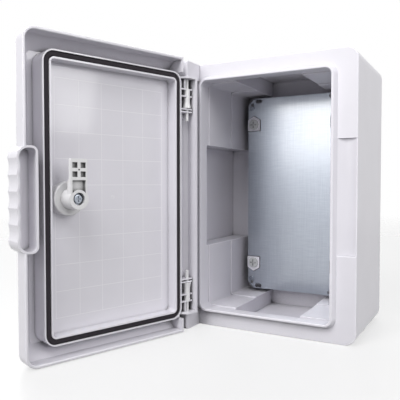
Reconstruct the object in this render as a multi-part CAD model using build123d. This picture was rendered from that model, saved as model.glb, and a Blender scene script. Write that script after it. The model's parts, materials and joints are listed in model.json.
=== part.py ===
from build123d import *
from math import sqrt
import os

# Hinged plastic wall enclosure, door swung open, in millimetres.
# X runs across the front, Y from front to back, Z up.
# The origin is the middle of the bottom face that the housing stands on.

# Overall size
WIDTH = 200.0
HEIGHT = 300.0
HOUSING_DEPTH = 130.0
DOOR_DEPTH = 29.5
RIM_GAP = 0.5
CORNER_RADIUS = 12.0
WALL = 3.0
BACK_EDGE_RADIUS = 2.5
FRONT_EDGE_RADIUS = 0.8

# Sealing collar round the mouth of the housing
COLLAR_WALL = 2.4
COLLAR_MARGIN_X = 24.4
COLLAR_MARGIN_Z = 18.4
COLLAR_PROJECTION = 6.0
COLLAR_TAPER = 3.0
COLLAR_CORNER_RADIUS = 7.7
COLLAR_EDGE_RADIUS = 0.8
LEDGE_WALL = 2.4

# Draft steps and recesses inside the housing
STEP_INSET = 1.0
FIRST_STEP_DEPTH = 13.0
SECOND_STEP_DEPTH = 72.0
INNER_CORNER_RADIUS = 2.0
RECESS_FRONT = 8.4
SIDE_RECESS_HEIGHT = 117.0
END_RECESS_WIDTH = 77.0
CORE_WALL = 2.6

# Finger scoop in the closing flange
SCOOP_HEIGHT = 119.0
SCOOP_DEPTH = 3.0

# Hinge ears and the pin line, measured from the left edge and the flange
EAR_WIDTH = 20.6
EAR_HEIGHT = 18.5
EAR_PROJECTION = 28.0
EAR_EDGE_RADIUS = 2.5
HINGE_INSET = 8.0
HINGE_STANDOFF = 22.0
OPEN_ANGLE = 108.7

# Mounting plate, its posts and its screws
PLATE_MARGIN_X = 37.5
PLATE_MARGIN_Z = 26.5
PLATE_THICKNESS = 1.5
PLATE_DEPTH = 102.0
PLATE_CHAMFER = 8.0
POST_DIAMETER = 7.5
POST_EDGE_X = 5.2
POST_EDGE_Z = 12.1
PLATE_SLOT_WIDTH = 4.8
PLATE_SLOT_LENGTH = 9.0
PLATE_SLOT_SHIFT = 2.0
SPARE_SLOT_SHIFT_X = 9.3
SPARE_SLOT_SHIFT_Z = 8.6
SCREW_DIAMETER = 3.5
SCREW_HEAD_DIAMETER = 6.4
SCREW_HEAD_HEIGHT = 2.4
SCREW_LENGTH = 12.0

# Wall fixing bosses and their plugs
BOSS_WIDTH = 16.3
BOSS_FOOT = 7.6
BOSS_EAVES = 6.1
BOSS_POINT = 4.9
BOSS_EDGE_X = 8.0
BOSS_EDGE_Z = 33.5
BOSS_PROUD = 1.5
BOSS_CLEARANCE = 1.0
WALL_HOLE_DIAMETER = 7.0
PLUG_DIAMETER = 13.5
PLUG_LENGTH = 5.0
PLUG_HEAD_HEIGHT = 1.2
PLUG_SLOT_WIDTH = 1.6
PLUG_SLOT_DEPTH = 0.8

# Door shell
DOOR_FLOOR_CLEARANCE = 1.0
DOOR_WALL = 2.8
DOOR_SIDE = 15.5
BEVEL_INSET = 14.0
FRONT_CORNER_RADIUS = 4.0
RIM_EDGE_RADIUS = 1.0
BEVEL_EDGE_RADIUS = 3.0
HINGE_LIP_RELIEF = 1.4
NOTCH_WIDTH = 21.4
NOTCH_HEIGHT = 19.0
NOTCH_WALL = 2.3
NOTCH_RELIEF_WIDTH = 9.3
NOTCH_RELIEF_RAMP = 5.5
NOTCH_RELIEF_DEPTH = 7.0
NOTCH_RELIEF_BASE = 16.0
FIELD_MARGIN = 3.0

# Gasket channel and gasket
SEAL_SHIFT_X = 0.4
SEAL_SHIFT_Z = 1.1
CHANNEL_WIDTH = 5.4
CHANNEL_DEPTH = 7.0
RIDGE_OUTER_WALL = 1.3
RIDGE_INNER_WALL = 1.7
COLLAR_ENTRY = 0.5
GASKET_CLEARANCE = 0.3
GASKET_SIDE_PLAY = 0.05
GASKET_CROWN_RADIUS = 1.8
PANEL_DROP = 13.2

# Grip handle on the free edge
HANDLE_HEIGHT = 94.0
HANDLE_WIDTH = 19.5
HANDLE_OVERHANG = 6.3
HANDLE_DEPTH = 19.5
HANDLE_WALL = 2.0
HANDLE_FLOOR = 2.5
HANDLE_OUTER_RADIUS = 11.0
HANDLE_INNER_RADIUS = 6.0
FINGER_COUNT = 5
FINGER_WAVE = 1.2

# Hinge pins and the ribs that hold them
PIN_DIAMETER = 5.0
PIN_PLAY = 0.05
PIN_IN_EAR = 9.0
PIN_TAIL = 48.0
KNUCKLE_DIAMETER = 9.0
KNUCKLE_LENGTH = 45.0
GRIP_DIAMETER = 7.0
GRIP_FLARE_DIAMETER = 9.4
GRIP_ROD_DIAMETER = 4.0
GRIP_INSET = 9.5
GRIP_LEVEL = 8.5
GRIP_PLAY = 0.15
GRIP_DROP = 12.8
GRIP_LENGTH = 21.2
GRIP_FLARE_LENGTH = 6.0
GRIP_ARM_DROP = 25.0
GRIP_ARM_LENGTH = 6.0
GRIP_ARM_WIDTH = 3.0
RIB_THICKNESS = 1.5
RIB_INSET = 4.0
RIB_LEVEL = 5.8
RIB_DROPS = (13.5, 21.3, 35.3, 38.3)
STAY_INSET = 13.5

# Quarter turn lock
LOCK_INSET = 47.0
NUT_RADIUS = 16.0
NUT_HEIGHT = 11.0
NUT_EDGE_RADIUS = 1.4
BUSH_DIAMETER = 20.0
BUSH_HEAD_DIAMETER = 28.0
BUSH_HEAD_HEIGHT = 3.5
LOCK_SEAL_THICKNESS = 1.5
SPINDLE_DIAMETER = 10.0
SPINDLE_HEAD_DIAMETER = 14.0
SPINDLE_HEAD_HEIGHT = 2.5
TENON_WIDTH = 7.0
TENON_LENGTH = 10.5
TENON_PLAY = 0.05
KEY_SLOT_WIDTH = 2.0
KEY_SLOT_DEPTH = 2.0
SHAFT_PLAY = 0.05
LEVER_FACE = 10.0
LEVER_WIDTH = 16.7
LEVER_REACH = 36.5
LEVER_THICKNESS = 6.5
LEVER_TIP_THICKNESS = 3.8
LEVER_HUB_RADIUS = 9.6
TIP_START = 19.0
TIP_RAMP = 4.0
TIP_CORNER_RADIUS = 1.2
HUB_GAP = 0.4
POCKET_SIZE = 5.0
POCKET_PITCH = 8.2
POCKET_CENTRE = 26.5
POCKET_DEPTH = 3.0
DIMPLE_DIAMETER = 1.6
WINDOW_WIDTH = 13.2
WINDOW_TOP = 17.0
WINDOW_DEPTH = 3.5
SCREW_RING_RADIUS = 8.4
SCREW_SEAT_RADIUS = 5.8
SCREW_SEAT_DEPTH = 5.5
LOCK_SCREW_DIAMETER = 4.0
LOCK_SCREW_LENGTH = 12.0
LOCK_SCREW_HEAD_DIAMETER = 8.6
LOCK_SCREW_HEAD_HEIGHT = 3.0
WASHER_DIAMETER = 10.4
WASHER_THICKNESS = 1.0

# Cross recess in the screw heads
RECESS_WIDTH = 1.0
RECESS_DEPTH = 1.4
RECESS_SPAN = 0.6

# Half of the band in which an edge counts as lying at a depth
RIM_FIND = 0.01

# Derived planes and positions
MIDDLE = HEIGHT / 2
FLANGE = -HOUSING_DEPTH / 2
BACK = HOUSING_DEPTH / 2
INNER_BACK = BACK - WALL
PLATE_FRONT = FLANGE + PLATE_DEPTH
HINGE_X = HINGE_INSET - WIDTH / 2
HINGE_Y = FLANGE - HINGE_STANDOFF
HINGE_LINE = Axis((HINGE_X, HINGE_Y, 0), (0, 0, 1))
COLLAR_WIDTH = WIDTH - 2 * COLLAR_MARGIN_X
COLLAR_HEIGHT = HEIGHT - 2 * COLLAR_MARGIN_Z
SEAL_WIDTH = COLLAR_WIDTH + 2 * SEAL_SHIFT_X
SEAL_HEIGHT = COLLAR_HEIGHT - 2 * SEAL_SHIFT_Z
PLATE_WIDTH = WIDTH - 2 * PLATE_MARGIN_X
PLATE_HEIGHT = HEIGHT - 2 * PLATE_MARGIN_Z
POST_SPACING_X = PLATE_WIDTH - 2 * POST_EDGE_X
POST_SPACING_Z = PLATE_HEIGHT - 2 * POST_EDGE_Z
BOSS_SPACING_X = PLATE_WIDTH - 2 * BOSS_EDGE_X
BOSS_SPACING_Z = PLATE_HEIGHT - 2 * BOSS_EDGE_Z
RIDGE_TOP = COLLAR_PROJECTION - COLLAR_ENTRY - RIM_GAP
PANEL = RIDGE_TOP + PANEL_DROP
TRAY = DOOR_DEPTH - DOOR_WALL
LOCK_X = WIDTH / 2 - LOCK_INSET


def block(x0, x1, y0, y1, z0, z1):
    """Box between two corners."""
    size = (x1 - x0, y1 - y0, z1 - z0)
    return Pos((x0 + x1) / 2, (y0 + y1) / 2, (z0 + z1) / 2) * Box(*size)


def outline(width, height, radius, y, z=MIDDLE):
    """Rounded rectangle seen from the front, at one depth."""
    plane = Plane(origin=(0, y, z), x_dir=(1, 0, 0), z_dir=(0, 1, 0))
    return plane * RectangleRounded(width, height, radius)


def slab(width, height, radius, y0, y1, z=MIDDLE):
    """Rounded rectangle carried from one depth to another."""
    return extrude(outline(width, height, radius, y0, z), y1 - y0)


def collar_outline(offset, y):
    """Outline about the collar's centre line, grown by an offset."""
    radius = COLLAR_CORNER_RADIUS + offset
    return outline(COLLAR_WIDTH + 2 * offset, COLLAR_HEIGHT + 2 * offset, radius, y)


def seal_ring(offset, y0, y1):
    """Solid inside the gasket's centre line, grown by an offset."""
    radius = COLLAR_CORNER_RADIUS + offset
    return slab(SEAL_WIDTH + 2 * offset, SEAL_HEIGHT + 2 * offset, radius, y0, y1)


def rod(x, z, diameter, y0, y1):
    """Round bar along the depth."""
    plane = Plane(origin=(x, y0, z), x_dir=(1, 0, 0), z_dir=(0, 1, 0))
    return extrude(plane * Circle(diameter / 2), y1 - y0)


def post(x, y, diameter, z0, z1):
    """Round bar standing up."""
    return extrude(Pos(x, y, z0) * Circle(diameter / 2), z1 - z0)


def prism(points, y0, y1):
    """Front view polygon of (x, z) points carried from one depth to another."""
    face = make_face(Polyline(*[(x, y0, z) for x, z in points], close=True))
    return extrude(face, y1 - y0, dir=(0, 1, 0))


def corners(spacing_x, spacing_z):
    """The four places of a rectangular pattern about the middle of the box."""
    return [(i * spacing_x / 2, MIDDLE + j * spacing_z / 2) for i in (-1, 1) for j in (-1, 1)]


def door_y(v):
    """Depth of a door plane that lies v in front of the closed rim plane."""
    return FLANGE - RIM_GAP - v


def swing(shape):
    """Turn a piece from the closed door to the open door."""
    return shape.rotate(HINGE_LINE, -OPEN_ANGLE)


def cross_recess(x, z, diameter, y0, y1):
    """Cutter for a cross shaped driver recess."""
    half = diameter * RECESS_SPAN / 2
    arm = RECESS_WIDTH / 2
    upright = block(x - arm, x + arm, y0, y1, z - half, z + half)
    return upright + block(x - half, x + half, y0, y1, z - arm, z + arm)


# Housing

def boss_outline(x, z, grow):
    """House shape whose point looks away from the middle of the box."""
    away = 1 if z > MIDDLE else -1
    half = BOSS_WIDTH / 2 + grow
    base = z - away * (BOSS_FOOT + grow)
    eaves = z + away * BOSS_EAVES
    tip = eaves + away * (BOSS_POINT + grow)
    return [(x - half, base), (x + half, base), (x + half, eaves), (x, tip), (x - half, eaves)]


def housing_shell():
    """Outer body with its tapered sealing collar and the hinge ears."""
    body = slab(WIDTH, HEIGHT, CORNER_RADIUS, FLANGE, BACK)
    body = fillet(body.faces().sort_by(Axis.Y)[-1].edges(), BACK_EDGE_RADIUS)
    body = fillet(body.faces().sort_by(Axis.Y)[0].edges(), FRONT_EDGE_RADIUS)
    half_wall = COLLAR_WALL / 2
    rim = collar_outline(half_wall, FLANGE - COLLAR_PROJECTION)
    foot = collar_outline(half_wall + COLLAR_TAPER, FLANGE)
    body += loft([rim, foot], ruled=True)
    front = FLANGE - EAR_PROJECTION
    root = FLANGE + CORNER_RADIUS
    ear = slab(WIDTH, HEIGHT, CORNER_RADIUS, front, root)
    left = -WIDTH / 2
    for z0, z1 in ((0, EAR_HEIGHT), (HEIGHT - EAR_HEIGHT, HEIGHT)):
        lug = ear & block(left, left + EAR_WIDTH, front, root, z0, z1)
        body += fillet(lug.faces().sort_by(Axis.Y)[0].edges(), EAR_EDGE_RADIUS)
    return body


def step_space(offset, radius, y0, y1):
    """Space between two depths, inset from the collar's centre line."""
    return slab(COLLAR_WIDTH - 2 * offset, COLLAR_HEIGHT - 2 * offset, radius, y0, y1)


def cavity():
    """Inside of the housing, with draft steps and the four recesses."""
    inset = COLLAR_WALL / 2
    mouth = FLANGE - COLLAR_PROJECTION
    first = FLANGE + FIRST_STEP_DEPTH
    second = FLANGE + SECOND_STEP_DEPTH
    space = step_space(inset, COLLAR_CORNER_RADIUS - inset, mouth, first)
    space += step_space(inset + STEP_INSET, INNER_CORNER_RADIUS, first, second)
    space += step_space(inset + 2 * STEP_INSET, INNER_CORNER_RADIUS, second, INNER_BACK)
    half_x = WIDTH / 2 - WALL
    half_z = SIDE_RECESS_HEIGHT / 2
    left_front = FLANGE + RECESS_FRONT
    right_front = FLANGE + SCOOP_DEPTH + LEDGE_WALL
    space += block(-half_x, 0, left_front, INNER_BACK, MIDDLE - half_z, MIDDLE + half_z)
    space += block(0, half_x, right_front, INNER_BACK, MIDDLE - half_z, MIDDLE + half_z)
    end_x = END_RECESS_WIDTH / 2
    space += block(-end_x, end_x, left_front, INNER_BACK, WALL, HEIGHT - WALL)
    return space


def corner_cores():
    """L shaped pockets that core the corner blocks from the back."""
    front = FLANGE + RECESS_FRONT
    outer = slab(WIDTH - 2 * WALL, HEIGHT - 2 * WALL, CORNER_RADIUS - WALL, front, BACK)
    ring = outer - step_space(COLLAR_WALL / 2 - CORE_WALL, INNER_CORNER_RADIUS + CORE_WALL, front, BACK)
    half_x = WIDTH / 2
    side = SIDE_RECESS_HEIGHT / 2 + CORE_WALL
    end = END_RECESS_WIDTH / 2 + CORE_WALL
    ring -= block(-half_x, half_x, front, BACK, MIDDLE - side, MIDDLE + side)
    return ring - block(-end, end, front, BACK, 0, HEIGHT)


def scoop():
    """Shallow finger scoop that runs out at the collar and at the closing edge."""
    start = (COLLAR_WIDTH + COLLAR_WALL) / 2 + COLLAR_TAPER
    edge = WIDTH / 2
    z0 = MIDDLE - SCOOP_HEIGHT / 2
    deepest = ((start + edge) / 2, FLANGE + SCOOP_DEPTH, z0)
    hollow = ThreePointArc((start, FLANGE, z0), deepest, (edge, FLANGE, z0))
    mouth = Line((edge, FLANGE, z0), (start, FLANGE, z0))
    return extrude(make_face(hollow + mouth), SCOOP_HEIGHT, dir=(0, 0, 1))


def make_housing():
    """One moulding: shell, interior, posts, fixing bosses and pin holes."""
    body = housing_shell() - cavity()
    rim = FLANGE - COLLAR_PROJECTION
    rim_edges = body.edges().filter_by_position(Axis.Y, rim - RIM_FIND, rim + RIM_FIND)
    body = fillet(rim_edges, COLLAR_EDGE_RADIUS)
    body -= corner_cores() + scoop()
    post_front = PLATE_FRONT + PLATE_THICKNESS
    for x, z in corners(POST_SPACING_X, POST_SPACING_Z):
        body += rod(x, z, POST_DIAMETER, post_front, INNER_BACK)
        pilot = SCREW_DIAMETER + 2 * SHAFT_PLAY
        body -= rod(x, z, pilot, post_front, post_front + SCREW_LENGTH)
    for x, z in corners(BOSS_SPACING_X, BOSS_SPACING_Z):
        body += prism(boss_outline(x, z, 0), PLATE_FRONT - BOSS_PROUD, INNER_BACK)
        body -= rod(x, z, WALL_HOLE_DIAMETER, PLATE_FRONT, BACK)
        seat = PLATE_FRONT - BOSS_PROUD + PLUG_LENGTH
        body -= rod(x, z, PLUG_DIAMETER, PLATE_FRONT - BOSS_PROUD, seat)
    hole = PIN_DIAMETER + 2 * PIN_PLAY
    deep = PIN_IN_EAR + RIM_GAP
    body -= post(HINGE_X, HINGE_Y, hole, EAR_HEIGHT - deep, EAR_HEIGHT)
    body -= post(HINGE_X, HINGE_Y, hole, HEIGHT - EAR_HEIGHT, HEIGHT - EAR_HEIGHT + deep)
    return body


# Mounting plate and small fixings

def make_plate():
    """Sheet with cut corners, notches round the bosses and slotted holes."""
    half_x = PLATE_WIDTH / 2
    y1 = PLATE_FRONT + PLATE_THICKNESS
    sheet = block(-half_x, half_x, PLATE_FRONT, y1, MIDDLE - PLATE_HEIGHT / 2, MIDDLE + PLATE_HEIGHT / 2)
    sheet = chamfer(sheet.edges().filter_by(Axis.Y), PLATE_CHAMFER)
    for x, z in corners(BOSS_SPACING_X, BOSS_SPACING_Z):
        sheet -= prism(boss_outline(x, z, BOSS_CLEARANCE), PLATE_FRONT, y1)
    for x, z in corners(POST_SPACING_X, POST_SPACING_Z):
        side = 1 if x > 0 else -1
        up = 1 if z > MIDDLE else -1
        slot = SlotOverall(PLATE_SLOT_LENGTH, PLATE_SLOT_WIDTH)
        held = (x, PLATE_FRONT, z + up * PLATE_SLOT_SHIFT)
        plane = Plane(origin=held, x_dir=(0, 0, 1), z_dir=(0, 1, 0))
        sheet -= extrude(plane * slot, PLATE_THICKNESS)
        spare = (x - side * SPARE_SLOT_SHIFT_X, PLATE_FRONT, z + up * SPARE_SLOT_SHIFT_Z)
        plane = Plane(origin=spare, x_dir=(1, 0, 0), z_dir=(0, 1, 0))
        sheet -= extrude(plane * slot, PLATE_THICKNESS)
    return sheet


def make_plate_screw(x, z):
    """Pan head screw that holds the plate to its post."""
    top = PLATE_FRONT - SCREW_HEAD_HEIGHT
    head = rod(x, z, SCREW_HEAD_DIAMETER, top, PLATE_FRONT)
    rim = head.faces().sort_by(Axis.Y)[0].edges()
    screw = chamfer(rim, SCREW_HEAD_HEIGHT / 3)
    screw += rod(x, z, SCREW_DIAMETER, PLATE_FRONT, PLATE_FRONT + SCREW_LENGTH)
    return screw - cross_recess(x, z, SCREW_HEAD_DIAMETER, top, top + RECESS_DEPTH)


def make_plug(x, z):
    """Cap over the head of a wall screw, with a cross slot."""
    front = PLATE_FRONT - BOSS_PROUD
    top = front - PLUG_HEAD_HEIGHT
    plug = rod(x, z, PLUG_DIAMETER - 2 * SHAFT_PLAY, top, front + PLUG_LENGTH)
    plug = chamfer(plug.faces().sort_by(Axis.Y)[0].edges(), PLUG_HEAD_HEIGHT / 2)
    half = PLUG_DIAMETER * RECESS_SPAN / 2
    arm = PLUG_SLOT_WIDTH / 2
    floor = top + PLUG_SLOT_DEPTH
    plug -= block(x - arm, x + arm, top, floor, z - half, z + half)
    return plug - block(x - half, x + half, top, floor, z - arm, z + arm)


# Door

def door_body():
    """Dished shell: straight sides, a broad bevel and a flat front rim."""
    height = HEIGHT - DOOR_FLOOR_CLEARANCE
    z = MIDDLE + DOOR_FLOOR_CLEARANCE / 2
    side = slab(WIDTH, height, CORNER_RADIUS, door_y(DOOR_SIDE), door_y(0), z)
    shrink = 2 * BEVEL_INSET
    bevel = loft(
        [
            outline(WIDTH, height, CORNER_RADIUS, door_y(DOOR_SIDE), z),
            outline(WIDTH - shrink, height - shrink, FRONT_CORNER_RADIUS, door_y(DOOR_DEPTH), z),
        ],
        ruled=True,
    )
    body = side + bevel
    bend = door_y(DOOR_SIDE)
    bend_edges = body.edges().filter_by_position(Axis.Y, bend - RIM_FIND, bend + RIM_FIND)
    front_edges = body.faces().sort_by(Axis.Y)[0].edges()
    return fillet(bend_edges + front_edges, BEVEL_EDGE_RADIUS)


def door_tray():
    """Space inside the door shell, with an even wall along the bevel."""
    height = HEIGHT - DOOR_FLOOR_CLEARANCE
    z = MIDDLE + DOOR_FLOOR_CLEARANCE / 2
    rise = DOOR_DEPTH - DOOR_SIDE
    slant = sqrt(BEVEL_INSET ** 2 + rise ** 2)
    bend = DOOR_SIDE + DOOR_WALL * (rise - slant) / BEVEL_INSET
    inset = DOOR_WALL + (TRAY - bend) * BEVEL_INSET / rise
    wide = 2 * DOOR_WALL
    radius = CORNER_RADIUS - DOOR_WALL
    space = slab(WIDTH - wide, height - wide, radius, door_y(bend), door_y(0), z)
    space += loft(
        [
            outline(WIDTH - wide, height - wide, radius, door_y(bend), z),
            outline(WIDTH - 2 * inset, height - 2 * inset, FRONT_CORNER_RADIUS, door_y(TRAY), z),
        ],
        ruled=True,
    )
    return space


def handle_outline(wall, v):
    """Long grip with finger waves along its outer side and rounded corners."""
    half = HANDLE_HEIGHT / 2 - wall
    outer = WIDTH / 2 + HANDLE_OVERHANG - wall
    inner = WIDTH / 2 + HANDLE_OVERHANG - HANDLE_WIDTH + wall
    wide = HANDLE_OUTER_RADIUS - wall
    tight = HANDLE_INNER_RADIUS - wall
    y = door_y(v)
    straight = half - wide
    pitch = 2 * straight / FINGER_COUNT
    edge = []
    for i in range(FINGER_COUNT):
        low = MIDDLE - straight + i * pitch
        middle = (outer - FINGER_WAVE, y, low + pitch / 2)
        edge.append(ThreePointArc((outer, y, low), middle, (outer, y, low + pitch)))
    top = MIDDLE + half
    bottom = MIDDLE - half
    edge.append(TangentArc((outer, y, top - wide), (outer - wide, y, top), tangent=(0, 0, 1)))
    edge.append(Line((outer - wide, y, top), (inner + tight, y, top)))
    edge.append(TangentArc((inner + tight, y, top), (inner, y, top - tight), tangent=(-1, 0, 0)))
    edge.append(Line((inner, y, top - tight), (inner, y, bottom + tight)))
    edge.append(TangentArc((inner, y, bottom + tight), (inner + tight, y, bottom), tangent=(0, 0, -1)))
    edge.append(Line((inner + tight, y, bottom), (outer - wide, y, bottom)))
    edge.append(TangentArc((outer - wide, y, bottom), (outer, y, bottom + wide), tangent=(1, 0, 0)))
    return make_face(Wire(edge))


def notch_blocks(grow):
    """Corner spaces that clear the hinge ears, grown by a wall."""
    left = -WIDTH / 2
    right = left + NOTCH_WIDTH + grow
    high = NOTCH_HEIGHT + grow
    y0 = door_y(DOOR_DEPTH)
    lower = block(left, right, y0, door_y(0), 0, high)
    return lower + block(left, right, y0, door_y(0), HEIGHT - high, HEIGHT)


def relief_wedge(z):
    """Ramped cut, from one height up, in the walls of one notch."""
    right = NOTCH_WIDTH + NOTCH_WALL - WIDTH / 2
    left = right - NOTCH_RELIEF_WIDTH
    rim = door_y(0)
    floor = door_y(NOTCH_RELIEF_DEPTH)
    foot = (left + NOTCH_RELIEF_RAMP, floor, z)
    face = make_face(Polyline((left, rim, z), (right, rim, z), (right, floor, z), foot, close=True))
    return extrude(face, NOTCH_HEIGHT + NOTCH_WALL - NOTCH_RELIEF_BASE, dir=(0, 0, 1))


def notch_relief():
    """Cuts that let the collar's corners pass the notch walls."""
    return relief_wedge(NOTCH_RELIEF_BASE) + relief_wedge(HEIGHT - NOTCH_HEIGHT - NOTCH_WALL)


def hinge_height(top, drop):
    """Height of a hinge feature, counted from the notch towards the middle."""
    return HEIGHT - NOTCH_HEIGHT - drop if top else NOTCH_HEIGHT + drop


def hinge_ribs(top):
    """Ribs between the gasket ridge and the lip that carry one hinge pin."""
    left = RIB_INSET - WIDTH / 2
    right = -(SEAL_WIDTH + CHANNEL_WIDTH) / 2 - RIDGE_OUTER_WALL
    low = door_y(TRAY)
    high = door_y(RIB_LEVEL)
    ends = sorted((hinge_height(top, 0), hinge_height(top, RIB_DROPS[0])))
    stay = STAY_INSET - WIDTH / 2
    ribs = block(stay, stay + RIB_THICKNESS, low, high, *ends)
    for drop in RIB_DROPS:
        z = hinge_height(top, drop)
        ribs += block(left, right, low, high, z - RIB_THICKNESS / 2, z + RIB_THICKNESS / 2)
    knuckle = sorted((hinge_height(top, 0), hinge_height(top, KNUCKLE_LENGTH)))
    return ribs + post(HINGE_X, HINGE_Y, KNUCKLE_DIAMETER, *knuckle)


def make_door():
    """One moulding: shell, gasket channel, handle, notches and hinge ribs."""
    body = door_body()
    door = body - door_tray()
    door = fillet(door.faces().sort_by(Axis.Y)[-1].edges(), RIM_EDGE_RADIUS)
    door += (notch_blocks(NOTCH_WALL) & body) - notch_relief()
    ridge = CHANNEL_WIDTH / 2 + RIDGE_OUTER_WALL
    door += seal_ring(ridge, door_y(TRAY), door_y(RIDGE_TOP))
    inside = -CHANNEL_WIDTH / 2 - RIDGE_INNER_WALL
    door -= seal_ring(inside, door_y(PANEL), door_y(RIDGE_TOP))
    door -= seal_ring(ridge - FIELD_MARGIN, door_y(DOOR_DEPTH), door_y(PANEL + DOOR_WALL))
    channel = seal_ring(CHANNEL_WIDTH / 2, door_y(RIDGE_TOP + CHANNEL_DEPTH), door_y(RIDGE_TOP))
    core = seal_ring(-CHANNEL_WIDTH / 2, door_y(RIDGE_TOP + CHANNEL_DEPTH), door_y(RIDGE_TOP))
    door -= channel - core
    for top in (True, False):
        door += hinge_ribs(top)
    door -= notch_blocks(0)
    door += extrude(handle_outline(0, HANDLE_DEPTH), HANDLE_DEPTH, dir=(0, 1, 0))
    pocket = HANDLE_DEPTH - HANDLE_FLOOR
    door -= extrude(handle_outline(HANDLE_WALL, pocket), pocket, dir=(0, 1, 0))
    left = -WIDTH / 2
    door -= block(left, HINGE_X, door_y(HINGE_LIP_RELIEF), door_y(0), 0, HEIGHT)
    for top in (True, False):
        door -= pin_space(top, GRIP_PLAY)
    return door - rod(LOCK_X, MIDDLE, BUSH_DIAMETER, door_y(PANEL + DOOR_WALL), door_y(PANEL))


def make_gasket():
    """Endless cord of foam rubber lying in the channel."""
    half = CHANNEL_WIDTH / 2 - GASKET_SIDE_PLAY
    crown = RIDGE_TOP + COLLAR_ENTRY + GASKET_CLEARANCE
    low = door_y(RIDGE_TOP + CHANNEL_DEPTH)
    ring = seal_ring(half, low, door_y(crown)) - seal_ring(-half, low, door_y(crown))
    return fillet(ring.faces().sort_by(Axis.Y)[-1].edges(), GASKET_CROWN_RADIUS)


def pin_grip(top, play):
    """Rod with a flared barrel, beside the pin, grown by a play."""
    x = GRIP_INSET - WIDTH / 2
    y = door_y(GRIP_LEVEL)
    grow = 2 * play
    rod_ends = sorted((hinge_height(top, 0), hinge_height(top, PIN_TAIL)))
    grip = post(x, y, GRIP_ROD_DIAMETER + grow, *rod_ends)
    high = hinge_height(top, GRIP_DROP)
    low = hinge_height(top, GRIP_DROP + GRIP_LENGTH)
    waist = hinge_height(top, GRIP_DROP + GRIP_LENGTH - GRIP_FLARE_LENGTH)
    grip += post(x, y, GRIP_DIAMETER + grow, *sorted((high, waist)))
    narrow = Pos(x, y, waist) * Circle(GRIP_DIAMETER / 2 + play)
    wide = Pos(x, y, low) * Circle(GRIP_FLARE_DIAMETER / 2 + play)
    return grip + loft([narrow, wide])


def pin_arm(top, play):
    """Web that ties the grip to the pin, grown by a play."""
    ends = sorted(hinge_height(top, GRIP_ARM_DROP + i * GRIP_ARM_LENGTH) for i in (0, 1))
    middle = (HINGE_X + GRIP_INSET - WIDTH / 2) / 2
    half = GRIP_ARM_WIDTH / 2 + play
    return block(middle - half, middle + half, HINGE_Y, door_y(GRIP_LEVEL), ends[0] - play, ends[1] + play)


def pin_space(top, play):
    """Room that the door leaves for one hinge pin, its web and its grip."""
    ends = sorted((hinge_height(top, 0), hinge_height(top, PIN_TAIL)))
    shaft = post(HINGE_X, HINGE_Y, PIN_DIAMETER, *ends)
    return shaft + pin_arm(top, play) + pin_grip(top, play)


def make_pin(top):
    """Hinge pin with an offset grip that snaps into the ribs."""
    outer = hinge_height(top, -PIN_IN_EAR)
    inner = hinge_height(top, PIN_TAIL)
    pin = post(HINGE_X, HINGE_Y, PIN_DIAMETER, *sorted((outer, inner)))
    return pin + pin_arm(top, 0) + pin_grip(top, 0)


# Lock

def make_bush():
    """Threaded lock body with a round head in the front field."""
    front = door_y(PANEL + DOOR_WALL + LOCK_SEAL_THICKNESS)
    bush = rod(LOCK_X, MIDDLE, BUSH_HEAD_DIAMETER, front - BUSH_HEAD_HEIGHT, front)
    bush = chamfer(bush.faces().sort_by(Axis.Y)[0].edges(), BUSH_HEAD_HEIGHT / 3)
    bush += rod(LOCK_X, MIDDLE, BUSH_DIAMETER, front, door_y(PANEL - NUT_HEIGHT))
    bore = SPINDLE_DIAMETER + 2 * SHAFT_PLAY
    bush -= rod(LOCK_X, MIDDLE, bore, front - BUSH_HEAD_HEIGHT, door_y(PANEL - NUT_HEIGHT))
    seat = SPINDLE_HEAD_DIAMETER + 2 * SHAFT_PLAY
    floor = front - BUSH_HEAD_HEIGHT + SPINDLE_HEAD_HEIGHT
    return bush - rod(LOCK_X, MIDDLE, seat, front - BUSH_HEAD_HEIGHT, floor)


def make_seal():
    """Flat rubber ring under the head of the lock body."""
    y0 = door_y(PANEL + DOOR_WALL + LOCK_SEAL_THICKNESS)
    y1 = door_y(PANEL + DOOR_WALL)
    return rod(LOCK_X, MIDDLE, BUSH_HEAD_DIAMETER, y0, y1) - rod(LOCK_X, MIDDLE, BUSH_DIAMETER, y0, y1)


def make_nut():
    """Round nut that clamps the lock body to the panel."""
    nut = rod(LOCK_X, MIDDLE, 2 * NUT_RADIUS, door_y(PANEL), door_y(PANEL - NUT_HEIGHT))
    nut = fillet(nut.faces().sort_by(Axis.Y)[-1].edges(), NUT_EDGE_RADIUS)
    return nut - rod(LOCK_X, MIDDLE, BUSH_DIAMETER, door_y(PANEL), door_y(PANEL - NUT_HEIGHT))


def hub_level():
    """Door level of the hub face that turns just above the nut."""
    return PANEL - NUT_HEIGHT - HUB_GAP


def tenon(play, length):
    """Square drive between spindle and lever."""
    half = TENON_WIDTH / 2 + play
    low = door_y(hub_level())
    return block(LOCK_X - half, LOCK_X + half, low, low + length, MIDDLE - half, MIDDLE + half)


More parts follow.
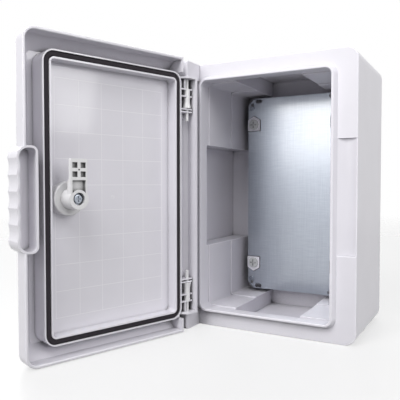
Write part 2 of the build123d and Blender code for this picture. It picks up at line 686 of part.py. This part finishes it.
def make_spindle():
    """Key operated shaft with a slotted head and a square drive."""
    front = door_y(PANEL + DOOR_WALL + LOCK_SEAL_THICKNESS) - BUSH_HEAD_HEIGHT
    spindle = rod(LOCK_X, MIDDLE, SPINDLE_HEAD_DIAMETER, front, front + SPINDLE_HEAD_HEIGHT)
    spindle += rod(LOCK_X, MIDDLE, SPINDLE_DIAMETER, front, door_y(hub_level()))
    spindle += tenon(0, TENON_LENGTH)
    half = SPINDLE_DIAMETER / 2
    arm = KEY_SLOT_WIDTH / 2
    slot_floor = front + KEY_SLOT_DEPTH
    spindle -= block(LOCK_X - half, LOCK_X + half, front, slot_floor, MIDDLE - arm, MIDDLE + arm)
    hole = LOCK_SCREW_DIAMETER + 2 * SHAFT_PLAY
    end = door_y(-LEVER_FACE)
    return spindle - rod(LOCK_X, MIDDLE, hole, end - SCREW_SEAT_DEPTH - LOCK_SCREW_LENGTH, end)


def lever_arm():
    """Arm whose underside ramps to a thinner tip that slips behind the ledge."""
    face = door_y(-LEVER_FACE)
    thick = face - LEVER_THICKNESS
    thin = face - LEVER_TIP_THICKNESS
    x = LOCK_X - LEVER_WIDTH / 2
    profile = [
        (face, 0),
        (face, LEVER_REACH),
        (thin, LEVER_REACH),
        (thin, TIP_START),
        (thick, TIP_START - TIP_RAMP),
        (thick, 0),
    ]
    side = make_face(Polyline(*[(x, y, MIDDLE + z) for y, z in profile], close=True))
    arm = extrude(side, LEVER_WIDTH, dir=(1, 0, 0))
    tip = arm.edges().filter_by(Axis.Y).group_by(Axis.Z)[-1]
    return fillet(tip, TIP_CORNER_RADIUS)


def make_lever():
    """Latch lever with moulded pockets, a window and a sunk screw seat."""
    face = door_y(-LEVER_FACE)
    lever = lever_arm() + rod(LOCK_X, MIDDLE, 2 * LEVER_HUB_RADIUS, door_y(hub_level()), face)
    half = POCKET_SIZE / 2
    centre = MIDDLE + POCKET_CENTRE
    for i in (-1, 1):
        for j in (-1, 1):
            x = LOCK_X + i * POCKET_PITCH / 2
            z = centre + j * POCKET_PITCH / 2
            lever -= block(x - half, x + half, face - POCKET_DEPTH, face, z - half, z + half)
    lever -= rod(LOCK_X, centre, DIMPLE_DIAMETER, face - POCKET_DEPTH, face)
    wide = WINDOW_WIDTH / 2
    window = block(LOCK_X - wide, LOCK_X + wide, face - WINDOW_DEPTH, face, MIDDLE, MIDDLE + WINDOW_TOP)
    lever -= window - rod(LOCK_X, MIDDLE, 2 * SCREW_RING_RADIUS, face - WINDOW_DEPTH, face)
    seat = face - SCREW_SEAT_DEPTH
    lever -= rod(LOCK_X, MIDDLE, 2 * SCREW_SEAT_RADIUS, seat, face)
    lever -= rod(LOCK_X, MIDDLE, LOCK_SCREW_DIAMETER + 2 * SHAFT_PLAY, door_y(hub_level()), face)
    return lever - tenon(TENON_PLAY, TENON_LENGTH + TENON_PLAY)


def make_washer():
    """Flat steel ring under the lock screw."""
    seat = door_y(-LEVER_FACE) - SCREW_SEAT_DEPTH
    top = seat + WASHER_THICKNESS
    hole = LOCK_SCREW_DIAMETER + 2 * SHAFT_PLAY
    return rod(LOCK_X, MIDDLE, WASHER_DIAMETER, seat, top) - rod(LOCK_X, MIDDLE, hole, seat, top)


def make_lock_screw():
    """Pan head screw that holds the lever on the spindle."""
    seat = door_y(-LEVER_FACE) - SCREW_SEAT_DEPTH + WASHER_THICKNESS
    top = seat + LOCK_SCREW_HEAD_HEIGHT
    screw = rod(LOCK_X, MIDDLE, LOCK_SCREW_HEAD_DIAMETER, seat, top)
    screw = fillet(screw.faces().sort_by(Axis.Y)[-1].edges(), LOCK_SCREW_HEAD_HEIGHT / 3)
    screw += rod(LOCK_X, MIDDLE, LOCK_SCREW_DIAMETER, seat - LOCK_SCREW_LENGTH, seat)
    return screw - cross_recess(LOCK_X, MIDDLE, LOCK_SCREW_HEAD_DIAMETER, top - RECESS_DEPTH, top)


def place_name(x, z):
    """Plain name of one corner of a pattern."""
    return ("upper" if z > MIDDLE else "lower") + ("_right" if x > 0 else "_left")


def make_parts():
    """Every piece by name, with the door and its lock swung open."""
    parts = {"housing": make_housing(), "mounting_plate": make_plate()}
    for x, z in corners(POST_SPACING_X, POST_SPACING_Z):
        parts["plate_screw_" + place_name(x, z)] = make_plate_screw(x, z)
    for x, z in corners(BOSS_SPACING_X, BOSS_SPACING_Z):
        parts["wall_hole_plug_" + place_name(x, z)] = make_plug(x, z)
    on_door = {
        "door": make_door(),
        "gasket": make_gasket(),
        "upper_hinge_pin": make_pin(True),
        "lower_hinge_pin": make_pin(False),
        "lock_body": make_bush(),
        "lock_seal": make_seal(),
        "lock_nut": make_nut(),
        "lock_spindle": make_spindle(),
        "lock_lever": make_lever(),
        "lock_washer": make_washer(),
        "lock_screw": make_lock_screw(),
    }
    for name, piece in on_door.items():
        parts[name] = swing(piece)
    return parts


os.makedirs("parts", exist_ok=True)
for name, piece in make_parts().items():
    export_step(piece, f"parts/{name}.step")
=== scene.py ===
import json
from math import cos, pi, radians, sin, sqrt

import bmesh
import bpy
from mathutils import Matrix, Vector


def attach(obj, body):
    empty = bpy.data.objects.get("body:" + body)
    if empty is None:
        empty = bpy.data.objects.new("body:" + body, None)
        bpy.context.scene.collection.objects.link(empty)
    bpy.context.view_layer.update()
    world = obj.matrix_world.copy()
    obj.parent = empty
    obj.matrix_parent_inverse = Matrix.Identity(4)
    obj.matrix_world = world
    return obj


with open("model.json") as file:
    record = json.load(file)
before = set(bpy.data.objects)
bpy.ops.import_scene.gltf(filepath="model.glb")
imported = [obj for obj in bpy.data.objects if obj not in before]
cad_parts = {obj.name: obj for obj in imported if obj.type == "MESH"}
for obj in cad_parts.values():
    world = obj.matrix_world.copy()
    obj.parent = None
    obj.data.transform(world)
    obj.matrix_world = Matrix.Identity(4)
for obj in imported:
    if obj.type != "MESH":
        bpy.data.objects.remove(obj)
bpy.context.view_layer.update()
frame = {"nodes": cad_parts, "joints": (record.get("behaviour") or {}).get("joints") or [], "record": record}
NODES = frame["nodes"]
MM = 0.001

# Camera that matches the photograph, as a 400 by 400 pixel frame
IMAGE_PIXELS = 400
FOCAL_PIXELS = 513.45
SENSOR_MM = 36.0
CAMERA_PLACE = (0.21186, -0.58542, 0.16505)
CAMERA_YAW = radians(29.172)
CAMERA_PITCH = radians(1.962)
CAMERA_NEAR = 10.0 * MM

# Colours, linear
HOUSING_GREY = (0.735, 0.720, 0.768)
LOCK_GREY = (0.745, 0.740, 0.748)
PLUG_GREY = (0.560, 0.568, 0.570)
GASKET_BLACK = (0.019, 0.015, 0.020)
ZINC = (0.318, 0.346, 0.397)
SCREW_METAL = (0.320, 0.345, 0.390)
# Grid lines and gate mark: lighter copies of the door plastic, a painted highlight on the raised marks
LINE_HIGHLIGHT_GREY = (0.860, 0.850, 0.880)
GATE_HIGHLIGHT_GREY = (0.765, 0.752, 0.795)
FLOOR_WHITE = (0.720, 0.720, 0.725)
AMBIENT_WHITE = (0.98, 0.98, 1.0)
SURROUND_WHITE = (1, 1, 1)

# Middle part of a noise, which holds nearly all of its values
NOISE_RANGE = (0.3, 0.7)

# Moulded plastic: the housing is satin, the door glossier
HOUSING_ROUGHNESS = 0.28
HOUSING_IOR = 1.33
DOOR_ROUGHNESS = 0.09
ABS_IOR = 1.5
ROUGHNESS_BELOW = 0.004
ROUGHNESS_ABOVE = 0.006

# Radii that soften the look of edges
MOULDED_EDGE = 0.3 * MM
WORN_EDGE = 0.4 * MM
FINE_EDGE = 0.2 * MM
SHEET_EDGE = 0.3 * MM

# Painted shade in gaps: reach, openness at which it is full and at which it ends, brightness left
CORNER_SHADE = (6.0 * MM, 0.05, 0.75, 0.35)
POCKET_SHADE = (6.0 * MM, 0.30, 0.95, 0.20)
CAVITY_SHADE = (45.0 * MM, 0.04, 0.30, 0.06)
SLOT_SHADE = (14.0 * MM, 0.05, 0.36, 0.15)

# Painted highlight on convex edges: reach into the piece, openness at a sharp edge, brightness there
EDGE_REACH = 1.2 * MM
EDGE_OPENNESS = 0.55
HOUSING_EDGE_HIGHLIGHT = 1.30
DOOR_EDGE_HIGHLIGHT = 1.08
SHADE_SAMPLES = 8
BEVEL_SAMPLES = 6

# Grid of fine lines and gate mark on the inside of the door panel, placed on the closed door
GRID_PITCH = 25.0 * MM
GRID_COLUMNS = 6
GRID_ROWS = 10
LINE_WIDTH = 0.45 * MM
LINE_HEIGHT = 0.04 * MM
LINE_SLOPE = 0.3 * LINE_WIDTH
PANEL_PLANE = -83.7 * MM
PANEL_CENTRE = (0.0, 150.0 * MM)
LOCK_CENTRE = (53.0 * MM, 150.0 * MM)
LOCK_CLEARANCE = 16.5 * MM
GATE_RADIUS = 2.4 * MM
GATE_RIM = 0.94 * GATE_RADIUS
GATE_PIP = 0.8 * MM
GATE_PIP_TOP = 0.8 * GATE_PIP
GATE_PIP_HEIGHT = 3 * LINE_HEIGHT
GATE_SIDES = 40

# Floor, partly clear in the middle and fully at its rim, and the white surround
FLOOR_RADIUS = 2.2
FLOOR_SIDES = 96
FLOOR_ROUGHNESS = 0.35
FLOOR_CLEAR = 0.66
FADE_START = 0.35 * FLOOR_RADIUS
AMBIENT_STRENGTH = 0.085
SURROUND_STRENGTH = 1.0

# Soft lamps: name, place, width and height, power in watts
LAMP_TARGET = Vector((-0.05, -0.08, 0.15))
SOFTBOXES = (
    ("key_softbox", (-0.33, -1.20, 0.90), (0.60, 1.00), 8.9),
    ("strip_softbox", (-0.34, -1.25, 0.42), (0.34, 0.36), 1.6),
    ("side_softbox", (1.50, -0.29, 0.85), (1.00, 1.00), 11.7),
    ("fill_softbox", (1.10, -0.90, 0.80), (0.80, 0.80), 2.9),
    ("top_softbox", (0.05, -0.95, 1.25), (0.90, 0.70), 9.3),
    ("rear_softbox", (-0.75, 1.45, 0.90), (0.90, 0.90), 9.0),
    ("left_softbox", (-1.45, 0.55, 0.90), (0.90, 0.90), 8.0),
)

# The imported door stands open: its hinge and the angle that shuts it
HINGE = next(joint for joint in frame["joints"] if joint["name"] == "door_hinge")
CLOSING = radians(HINGE["range_deg"][1])


def door_point(x, y, z):
    """A point given on the closed door, carried to the open door of the rest pose."""
    dx = x - HINGE["pos_m"][0]
    dy = y - HINGE["pos_m"][1]
    turned_x = HINGE["pos_m"][0] + dx * cos(CLOSING) + dy * sin(CLOSING)
    turned_y = HINGE["pos_m"][1] - dx * sin(CLOSING) + dy * cos(CLOSING)
    return Vector((turned_x, turned_y, z))


# Material building blocks

def new_material(name):
    """Node material, its tree and its principled shader."""
    material = bpy.data.materials.new(name)
    material.use_nodes = True
    tree = material.node_tree
    return material, tree, tree.nodes["Principled BSDF"]


def add_node(tree, kind, **values):
    """Node of a kind, with its plain settings and its input values by name."""
    node = tree.nodes.new(kind)
    for key, value in values.items():
        if key in node.inputs:
            node.inputs[key].default_value = value
        else:
            setattr(node, key, value)
    return node


def noise(tree, scale, detail, stretch=(1, 1, 1)):
    """Noise in the piece's own coordinates, stretched along the axes."""
    place = add_node(tree, "ShaderNodeTexCoord")
    mapping = add_node(tree, "ShaderNodeMapping", Scale=stretch)
    texture = add_node(tree, "ShaderNodeTexNoise", Scale=scale, Detail=detail)
    tree.links.new(place.outputs["Object"], mapping.inputs["Vector"])
    tree.links.new(mapping.outputs["Vector"], texture.inputs["Vector"])
    return texture.outputs["Fac"]


def map_range(tree, value, source, target, smooth=False):
    """Maps a value from one range to another and stops at its ends."""
    ramp = add_node(tree, "ShaderNodeMapRange", interpolation_type="SMOOTHSTEP" if smooth else "LINEAR")
    for name, number in zip(("From Min", "From Max", "To Min", "To Max"), (*source, *target)):
        ramp.inputs[name].default_value = number
    tree.links.new(value, ramp.inputs["Value"])
    return ramp.outputs["Result"]


def spread(tree, value, low, high):
    """Maps the middle of a noise to a range."""
    return map_range(tree, value, NOISE_RANGE, (low, high))


def tint(tree, colour, value, amount):
    """Colour that varies a little in brightness with a noise."""
    mix = add_node(tree, "ShaderNodeMix", data_type="RGBA")
    mix.inputs["A"].default_value = tuple(c * (1 - amount) for c in colour) + (1,)
    mix.inputs["B"].default_value = tuple(min(1, c * (1 + amount)) for c in colour) + (1,)
    tree.links.new(spread(tree, value, 0, 1), mix.inputs["Factor"])
    return mix.outputs["Result"]


def multiply(tree, colour, level):
    """Colour times a brightness."""
    mix = add_node(tree, "ShaderNodeMix", data_type="RGBA", blend_type="MULTIPLY")
    mix.inputs["Factor"].default_value = 1.0
    tree.links.new(colour, mix.inputs["A"])
    tree.links.new(level, mix.inputs["B"])
    return mix.outputs["Result"]


def paint_gap_shade(tree, colour, shade, local):
    """Paints shade into a colour in narrow gaps, of the piece alone or of all pieces."""
    reach, closed, clear, left = shade
    space = add_node(tree, "ShaderNodeAmbientOcclusion", samples=SHADE_SAMPLES, only_local=local,
                     Distance=reach)
    level = map_range(tree, space.outputs["AO"], (closed, clear), (left, 1), smooth=True)
    return multiply(tree, colour, level)


def paint_edge_highlight(tree, colour, edge_highlight):
    """Lifts a colour along convex edges: a painted highlight where the edges would catch the light."""
    inner = add_node(tree, "ShaderNodeAmbientOcclusion", samples=SHADE_SAMPLES, inside=True,
                     only_local=True, Distance=EDGE_REACH)
    level = map_range(tree, inner.outputs["AO"], (EDGE_OPENNESS, 1), (edge_highlight, 1))
    return multiply(tree, colour, level)


def bump(tree, shader, value, strength, depth, edge=0.0):
    """Fine relief, on normals that are softened at the edges."""
    relief = add_node(tree, "ShaderNodeBump", Strength=strength, Distance=depth)
    tree.links.new(value, relief.inputs["Height"])
    if edge:
        soft = add_node(tree, "ShaderNodeBevel", samples=BEVEL_SAMPLES, Radius=edge)
        tree.links.new(soft.outputs["Normal"], relief.inputs["Normal"])
    tree.links.new(relief.outputs["Normal"], shader.inputs["Normal"])


# Materials

def plastic(name, colour, rough, edge=0.0, shade=CORNER_SHADE, cavities=None, edge_highlight=None, ior=ABS_IOR):
    """Moulded ABS: fine grain, faint mottling, slightly uneven gloss, painted shade in gaps and, where
    asked, a painted highlight on convex edges.
    """
    material, tree, shader = new_material(name)
    grain = noise(tree, scale=2600, detail=4.0)
    cloud = noise(tree, scale=22, detail=3.0)
    sheen = noise(tree, scale=60, detail=2.0)
    body = tint(tree, colour, cloud, amount=0.018)
    # painted highlight along convex edges
    if edge_highlight:
        body = paint_edge_highlight(tree, body, edge_highlight)
    # painted shade in corners, and in deep cavities or slots where given
    body = paint_gap_shade(tree, body, shade, local=True)
    if cavities:
        body = paint_gap_shade(tree, body, cavities, local=False)
    tree.links.new(body, shader.inputs["Base Color"])
    gloss = spread(tree, sheen, rough - ROUGHNESS_BELOW, rough + ROUGHNESS_ABOVE)
    tree.links.new(gloss, shader.inputs["Roughness"])
    shader.inputs["IOR"].default_value = ior
    bump(tree, shader, grain, strength=0.05, depth=0.05 * MM, edge=edge)
    return material


def foam_rubber():
    """Closed cell foam cord: dull black with fine pores."""
    material, tree, shader = new_material("gasket_foam")
    pores = noise(tree, scale=1500, detail=6.0)
    tree.links.new(tint(tree, GASKET_BLACK, pores, amount=0.35), shader.inputs["Base Color"])
    tree.links.new(spread(tree, pores, low=0.65, high=0.9), shader.inputs["Roughness"])
    shader.inputs["Specular IOR Level"].default_value = 0.3
    bump(tree, shader, pores, strength=0.5, depth=0.2 * MM)
    return material


def zinc_sheet():
    """Galvanised sheet: fine upright rolling lines, cross lines and cloudy gloss under a clear coat."""
    material, tree, shader = new_material("zinc_sheet")
    rolled = noise(tree, scale=2200, detail=2.0, stretch=(1, 1, 0.015))
    crossed = noise(tree, scale=1600, detail=2.0, stretch=(0.04, 1, 1))
    cloud = noise(tree, scale=14, detail=2.0)
    lines = add_node(tree, "ShaderNodeMath", operation="ADD")
    tree.links.new(crossed, lines.inputs[0])
    tree.links.new(rolled, lines.inputs[1])
    centred = add_node(tree, "ShaderNodeMath", operation="SUBTRACT")
    tree.links.new(lines.outputs[0], centred.inputs[0])
    centred.inputs[1].default_value = 0.5
    tree.links.new(tint(tree, ZINC, centred.outputs[0], amount=0.07), shader.inputs["Base Color"])
    tree.links.new(spread(tree, cloud, low=0.40, high=0.44), shader.inputs["Roughness"])
    shader.inputs["Metallic"].default_value = 1.0
    shader.inputs["Coat Weight"].default_value = 1.0
    shader.inputs["Coat Roughness"].default_value = 0.17
    shader.inputs["Coat IOR"].default_value = 1.8
    bump(tree, shader, lines.outputs[0], strength=0.10, depth=0.1 * MM, edge=SHEET_EDGE)
    return material


def plated_steel(name, rough):
    """Bright plated fastener with faint turning marks."""
    material, tree, shader = new_material(name)
    marks = noise(tree, scale=1800, detail=3.0)
    tree.links.new(tint(tree, SCREW_METAL, marks, amount=0.06), shader.inputs["Base Color"])
    tree.links.new(spread(tree, marks, low=rough - 0.06, high=rough + 0.08), shader.inputs["Roughness"])
    shader.inputs["Metallic"].default_value = 1.0
    bump(tree, shader, marks, strength=0.08, depth=0.05 * MM, edge=FINE_EDGE)
    return material


def floor_material():
    """Pale floor that fades out into the white surround and keeps the shadow."""
    material, tree, shader = new_material("studio_floor")
    shader.inputs["Base Color"].default_value = FLOOR_WHITE + (1,)
    shader.inputs["Roughness"].default_value = FLOOR_ROUGHNESS
    clear = add_node(tree, "ShaderNodeBsdfTransparent")
    mix = add_node(tree, "ShaderNodeMixShader")
    place = add_node(tree, "ShaderNodeTexCoord")
    length = add_node(tree, "ShaderNodeVectorMath", operation="LENGTH")
    tree.links.new(place.outputs["Object"], length.inputs[0])
    fade = map_range(tree, length.outputs["Value"], (FADE_START, FLOOR_RADIUS), (FLOOR_CLEAR, 1),
                     smooth=True)
    tree.links.new(fade, mix.inputs["Fac"])
    tree.links.new(shader.outputs["BSDF"], mix.inputs[1])
    tree.links.new(clear.outputs["BSDF"], mix.inputs[2])
    tree.links.new(mix.outputs["Shader"], tree.nodes["Material Output"].inputs["Surface"])
    return material


# Pieces

def finish_nodes():
    """Gives every CAD node the material of its slot, and the door its glossier one."""
    # Every plastic paints shade into its corners; the lock and plugs also into their pockets, the housing
    # into deep cavities.
    finishes = {
        # The housing paints a highlight on its convex edges.
        "housing_plastic": plastic("housing_abs", HOUSING_GREY, HOUSING_ROUGHNESS, MOULDED_EDGE,
                                   cavities=CAVITY_SHADE, edge_highlight=HOUSING_EDGE_HIGHLIGHT, ior=HOUSING_IOR),
        "hinge_plastic": plastic("hinge_abs", LOCK_GREY, rough=0.32, edge=WORN_EDGE),
        "lock_plastic": plastic("lock_abs", LOCK_GREY, rough=0.30, edge=WORN_EDGE, shade=POCKET_SHADE),
        "plug_plastic": plastic("plug_abs", PLUG_GREY, rough=0.30, edge=FINE_EDGE, shade=POCKET_SHADE),
        "gasket_rubber": foam_rubber(),
        "galvanised_steel": zinc_sheet(),
        "screw_steel": plated_steel("plated_screw", rough=0.24),
        "spindle_metal": plated_steel("plated_casting", rough=0.32),
    }
    # The door paints shade into narrow slots and a weaker highlight on its convex edges.
    door_finish = plastic("door_abs", HOUSING_GREY, DOOR_ROUGHNESS, MOULDED_EDGE,
                          cavities=SLOT_SHADE, edge_highlight=DOOR_EDGE_HIGHLIGHT)
    for part in frame["record"]["subparts"]:
        finish = door_finish if part["node"] == "door" else finishes[part["material_slot"]]
        node = NODES[part["node"]]
        node.data.materials.clear()
        node.data.materials.append(finish)


def mesh_piece(name, mesh, body, material):
    """Turns a bmesh into a piece that rides on a body."""
    bmesh.ops.recalc_face_normals(mesh, faces=mesh.faces)
    data = bpy.data.meshes.new(name)
    mesh.to_mesh(data)
    mesh.free()
    piece = bpy.data.objects.new(name, data)
    bpy.context.scene.collection.objects.link(piece)
    data.materials.append(material)
    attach(piece, body)


def ends_clear_of_lock(offset, start, end, centre):
    """Splits a line that would run under the lock nut."""
    if abs(offset) >= LOCK_CLEARANCE:
        return [(start, end)]
    half = sqrt(LOCK_CLEARANCE ** 2 - offset ** 2)
    spans = [(start, min(end, centre - half)), (max(start, centre + half), end)]
    return [(a, b) for a, b in spans if b - a > LINE_WIDTH]


def grid_places(count, centre):
    """Evenly spaced places on both sides of a centre."""
    return [centre + (i - (count - 1) / 2) * GRID_PITCH for i in range(count)]


def raised_line(mesh, x0, x1, z0, z1):
    """Low moulded line on the panel, with sloping flanks."""
    rings = []
    for height, inset in ((0, 0), (LINE_HEIGHT, LINE_SLOPE)):
        left, right, low, high = x0 + inset, x1 - inset, z0 + inset, z1 - inset
        corners = ((left, low), (right, low), (right, high), (left, high))
        rings.append([mesh.verts.new(door_point(x, PANEL_PLANE + height, z)) for x, z in corners])
    base, top = rings
    mesh.faces.new(top)
    mesh.faces.new(base[::-1])
    for i in range(4):
        j = (i + 1) % 4
        mesh.faces.new((base[i], base[j], top[j], top[i]))


def panel_grid(material):
    """Square grid of fine lines moulded on the inside of the door panel."""
    mesh = bmesh.new()
    half = LINE_WIDTH / 2
    columns = grid_places(GRID_COLUMNS, PANEL_CENTRE[0])
    rows = grid_places(GRID_ROWS, PANEL_CENTRE[1])
    for x in columns:
        for a, b in ends_clear_of_lock(x - LOCK_CENTRE[0], rows[0], rows[-1], LOCK_CENTRE[1]):
            raised_line(mesh, x - half, x + half, a, b)
    for z in rows:
        for a, b in ends_clear_of_lock(z - LOCK_CENTRE[1], columns[0], columns[-1], LOCK_CENTRE[0]):
            raised_line(mesh, a, b, z - half, z + half)
    mesh_piece("panel_grid", mesh, "door", material)


def gate_mark(material):
    """Small round trimmed gate in the middle of the panel."""
    mesh = bmesh.new()
    rings = [(GATE_RADIUS, 0), (GATE_RIM, LINE_HEIGHT),
             (GATE_PIP, LINE_HEIGHT), (GATE_PIP_TOP, GATE_PIP_HEIGHT)]
    loops = []
    for radius, height in rings:
        loop = []
        for i in range(GATE_SIDES):
            angle = 2 * pi * i / GATE_SIDES
            x = PANEL_CENTRE[0] + radius * cos(angle)
            z = PANEL_CENTRE[1] + radius * sin(angle)
            loop.append(mesh.verts.new(door_point(x, PANEL_PLANE + height, z)))
        loops.append(loop)
    for lower, upper in zip(loops, loops[1:]):
        for i in range(GATE_SIDES):
            j = (i + 1) % GATE_SIDES
            mesh.faces.new((lower[i], lower[j], upper[j], upper[i]))
    mesh.faces.new(loops[-1])
    mesh.faces.new(loops[0][::-1])
    mesh_piece("gate_mark", mesh, "door", material)


# Studio

def studio_floor():
    """Round floor under the part."""
    disc = bmesh.new()
    bmesh.ops.create_circle(disc, cap_ends=True, segments=FLOOR_SIDES, radius=FLOOR_RADIUS)
    data = bpy.data.meshes.new("floor")
    disc.to_mesh(data)
    disc.free()
    floor = bpy.data.objects.new("floor", data)
    bpy.context.scene.collection.objects.link(floor)
    data.materials.append(floor_material())


def surround():
    """White surround for views and reflections, which gives the surfaces only a weak light."""
    world = bpy.data.worlds.new("studio")
    bpy.context.scene.world = world
    world.use_nodes = True
    tree = world.node_tree
    tree.nodes.clear()
    output = add_node(tree, "ShaderNodeOutputWorld")
    ambient = add_node(tree, "ShaderNodeBackground", Color=AMBIENT_WHITE + (1,), Strength=AMBIENT_STRENGTH)
    white = add_node(tree, "ShaderNodeBackground", Color=SURROUND_WHITE + (1,), Strength=SURROUND_STRENGTH)
    rays = add_node(tree, "ShaderNodeLightPath")
    seen = add_node(tree, "ShaderNodeMath", operation="MAXIMUM")
    seen_all = add_node(tree, "ShaderNodeMath", operation="MAXIMUM")
    mix = add_node(tree, "ShaderNodeMixShader")
    tree.links.new(rays.outputs["Is Camera Ray"], seen.inputs[0])
    tree.links.new(rays.outputs["Is Glossy Ray"], seen.inputs[1])
    tree.links.new(seen.outputs[0], seen_all.inputs[0])
    tree.links.new(rays.outputs["Is Transmission Ray"], seen_all.inputs[1])
    tree.links.new(seen_all.outputs[0], mix.inputs["Fac"])
    tree.links.new(ambient.outputs["Background"], mix.inputs[1])
    tree.links.new(white.outputs["Background"], mix.inputs[2])
    tree.links.new(mix.outputs["Shader"], output.inputs["Surface"])


def softbox(name, place, size, power):
    """Soft lamp that looks at the part."""
    data = bpy.data.lights.new(name, "AREA")
    data.shape = "RECTANGLE"
    data.size, data.size_y = size
    data.energy = power
    light = bpy.data.objects.new(name, data)
    light.location = place
    light.rotation_euler = (LAMP_TARGET - light.location).to_track_quat("-Z", "Y").to_euler()
    bpy.context.scene.collection.objects.link(light)


def camera():
    """Camera at the photograph's place and angle."""
    data = bpy.data.cameras.new("camera")
    data.sensor_width = SENSOR_MM
    data.lens = FOCAL_PIXELS / IMAGE_PIXELS * SENSOR_MM
    data.clip_start = CAMERA_NEAR
    view = bpy.data.objects.new("camera", data)
    view.location = CAMERA_PLACE
    view.rotation_euler = (pi / 2 - CAMERA_PITCH, 0, CAMERA_YAW)
    bpy.context.scene.collection.objects.link(view)
    bpy.context.scene.camera = view


finish_nodes()
# The grid lines and gate mark take lighter copies of the door plastic: painted highlight on the raised
# marks.
panel_grid(plastic("line_abs_painted_highlight", LINE_HIGHLIGHT_GREY, DOOR_ROUGHNESS))
gate_mark(plastic("gate_abs_painted_highlight", GATE_HIGHLIGHT_GREY, DOOR_ROUGHNESS))
studio_floor()
surround()
for box in SOFTBOXES:
    softbox(*box)
camera()
bpy.context.scene.view_settings.view_transform = "Standard"
